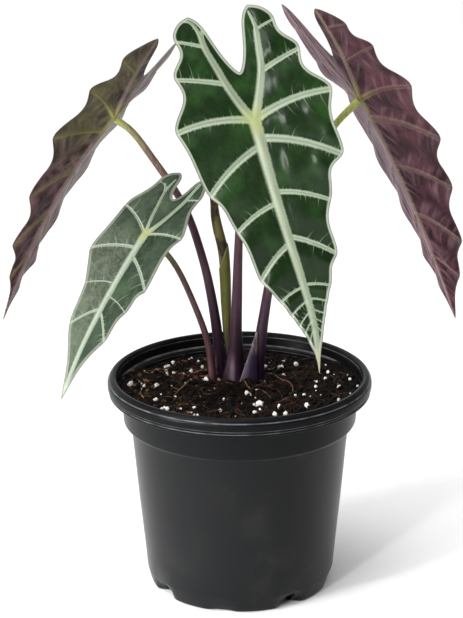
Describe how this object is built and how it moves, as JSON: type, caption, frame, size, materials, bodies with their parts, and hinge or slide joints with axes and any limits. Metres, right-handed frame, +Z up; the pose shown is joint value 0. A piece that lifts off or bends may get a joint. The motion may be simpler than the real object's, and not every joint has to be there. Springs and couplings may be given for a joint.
{
  "type": "potted plant",
  "caption": "Potted African mask plant: arrow-shaped ribbed leaves on slender stalks rise from soil in a round tapered black nursery pot.",
  "frame": {"origin": "on the pot's axis, in the plane that the foot stands in", "axes": "+Z up along the pot's axis, -Y towards the front, where the largest leaf faces, +X to the viewer's right"},
  "size_m": [0.2551, 0.15, 0.3385],
  "materials": {
    "pot_plastic": "satin charcoal-black moulded plastic",
    "potting_mix": "moist crumbly peat and bark with perlite",
    "corm": "rough brown bark",
    "petiole_skin": "smooth satin, green above and dark purple below",
    "leaf_upper_green": "glossy dark green with pale veins",
    "leaf_low_green": "glossy mid green with pale veins",
    "leaf_under_purple": "satin purple-brown underside with dull green veins",
    "spear_skin": "satin olive",
    "sheath_membrane": "thin dry pinkish membrane"
  },
  "bodies": {
    "root": {"pot": "pot_plastic", "soil": "potting_mix", "rootstock": "corm", "petiole_centre": "petiole_skin", "petiole_left": "petiole_skin", "petiole_right": "petiole_skin", "petiole_low": "petiole_skin", "blade_centre": "leaf_upper_green", "blade_left": "leaf_under_purple", "blade_right": "leaf_under_purple", "blade_low": "leaf_low_green", "spear": "spear_skin", "sheath": "sheath_membrane"}
  },
  "joints": []
}
